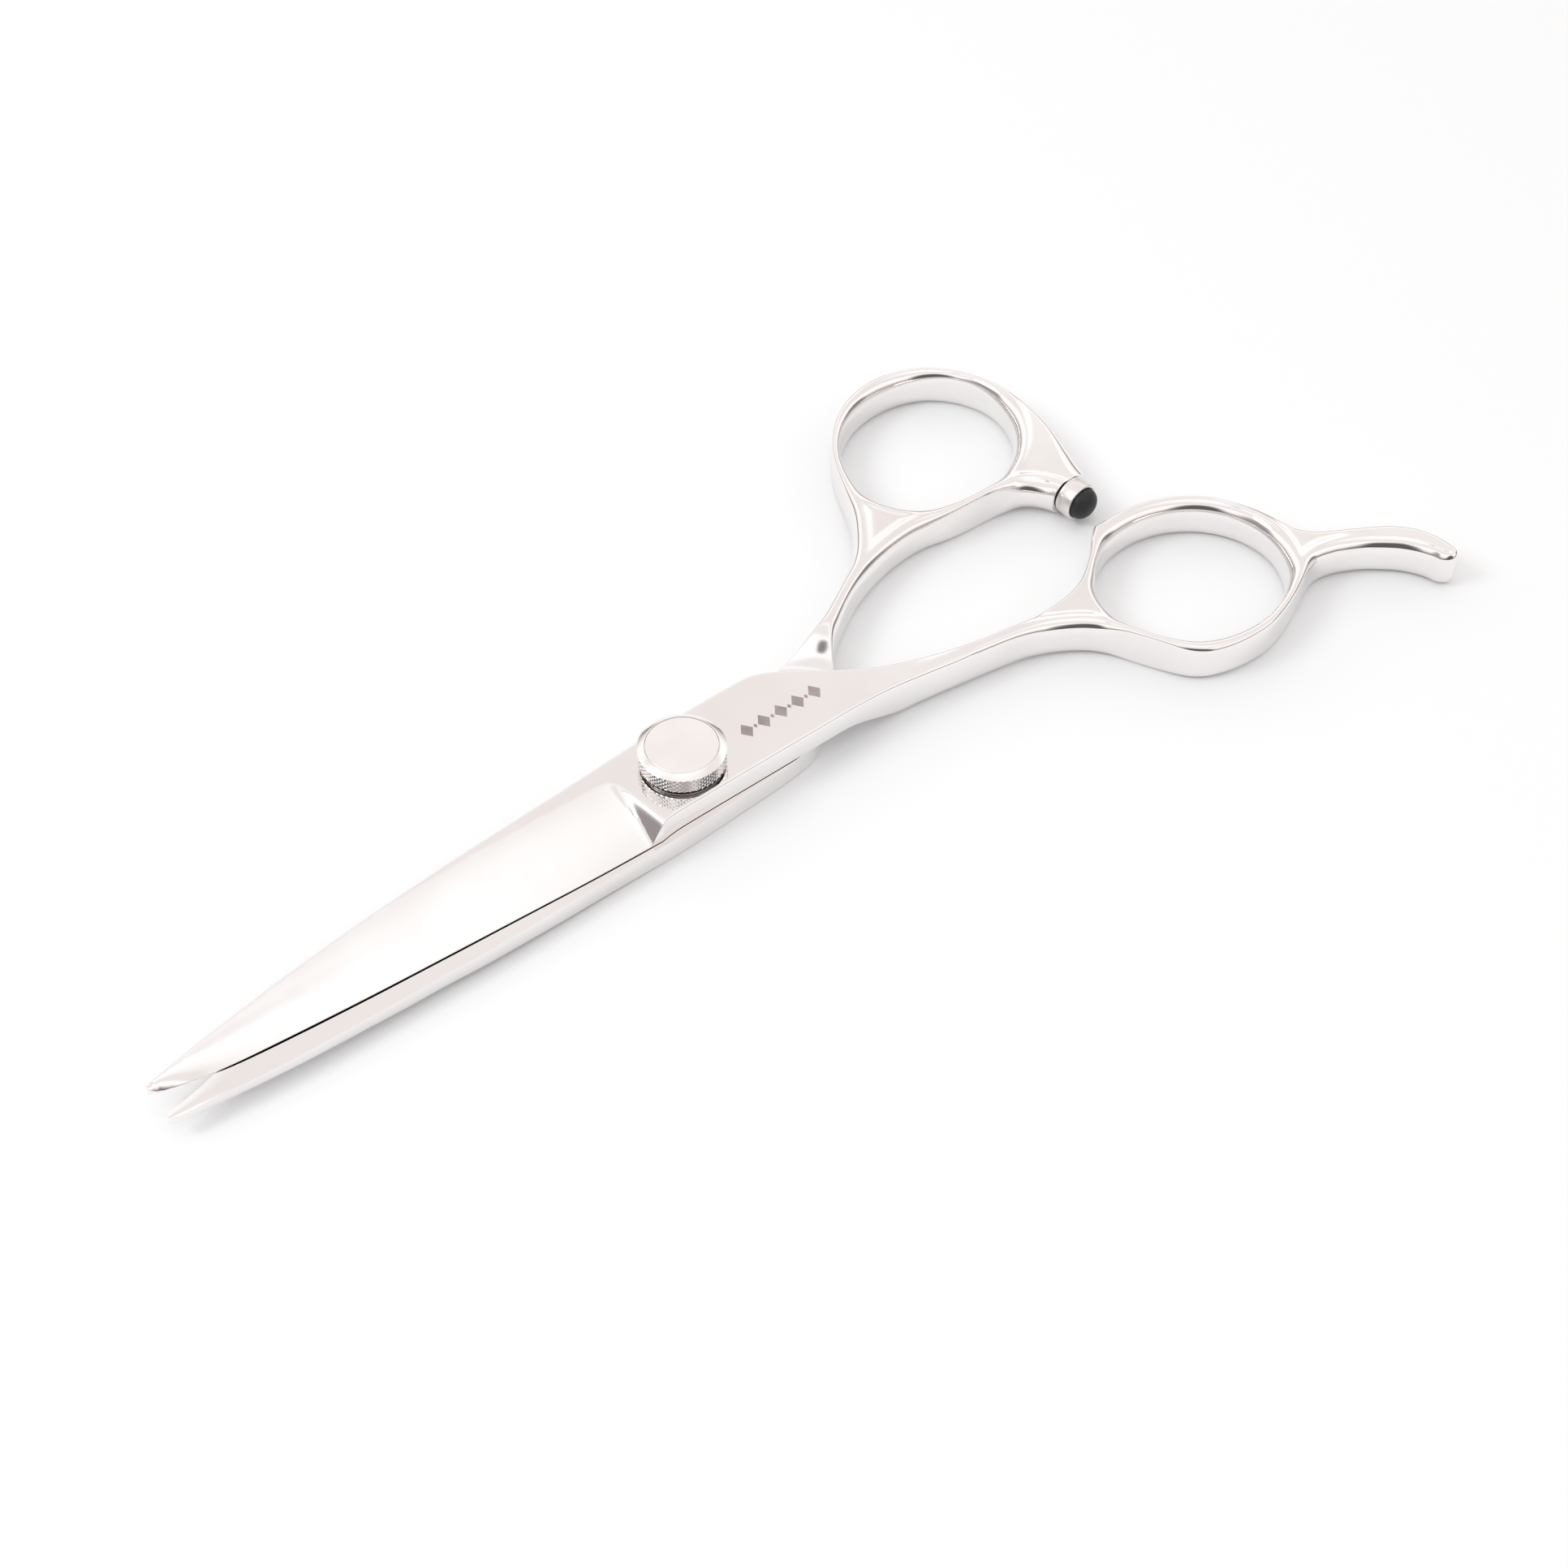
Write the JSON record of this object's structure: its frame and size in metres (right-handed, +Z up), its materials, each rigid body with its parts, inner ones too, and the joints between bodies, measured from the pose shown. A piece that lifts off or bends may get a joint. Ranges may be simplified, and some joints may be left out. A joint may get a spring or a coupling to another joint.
{
  "type": "hair cutting shears",
  "caption": "Right-handed hair cutting shears with polished steel halves on a keyed pivot, offset finger rings, a finger rest, a knurled tension dial and a rubber bumper.",
  "frame": {"origin": "on the pivot axis, in the plane that the shears lie on, at the underside of the pivot screw's head", "axes": "+Z up along the pivot axis, -X along the closed blades towards their tips and +X towards the rings, +Y towards the thumb ring"},
  "size_m": [0.1645, 0.0706, 0.0089],
  "materials": {
    "polished_steel": "mirror polished",
    "satin_steel": "satin, fine turned",
    "dial_steel": "diamond knurled with a polished chamfer",
    "spring_steel": "oiled spring steel",
    "bearing_bronze": "turned bronze",
    "glide_polymer": "smooth white polymer",
    "bumper_rubber": "matte black"
  },
  "bodies": {
    "finger_side": {"finger_half": "polished_steel", "pivot_screw": "satin_steel", "head_washer": "bearing_bronze", "disc_spring_lower": "spring_steel", "stop_clip": "spring_steel"},
    "thumb_side": {"thumb_half": "polished_steel", "pivot_bush": "bearing_bronze", "glide_washer": "glide_polymer", "bumper_collar": "satin_steel", "bumper_dome": "bumper_rubber"},
    "click_plate": {"click_washer": "spring_steel", "disc_spring_upper": "spring_steel"},
    "dial": {"tension_dial": "dial_steel", "dial_cap": "satin_steel", "detent_ball_1": "satin_steel", "detent_ball_2": "satin_steel", "detent_ball_3": "satin_steel", "detent_spring_1": "spring_steel", "detent_spring_2": "spring_steel", "detent_spring_3": "spring_steel"}
  },
  "joints": [
    {"name": "thumb_pivot", "type": "hinge", "parent": "finger_side", "child": "thumb_side", "pos_m": [0, 0, 0.003], "axis": [0, 0, 1], "range_deg": [-3.2, 85]},
    {"name": "tension_travel", "type": "slide", "parent": "finger_side", "child": "click_plate", "axis": [0, 0, 1], "range_m": [-0.00020833, 0.00025], "deforming": ["disc_spring_lower", "disc_spring_upper"]},
    {"name": "dial_turn", "type": "hinge", "parent": "click_plate", "child": "dial", "pos_m": [0, 0, 0.0066], "axis": [0, 0, 1], "range_deg": [-150, 180]}
  ],
  "couplings": [
    {"joint": "dial_turn", "follows": "tension_travel", "rad_per_m": 12566}
  ]
}
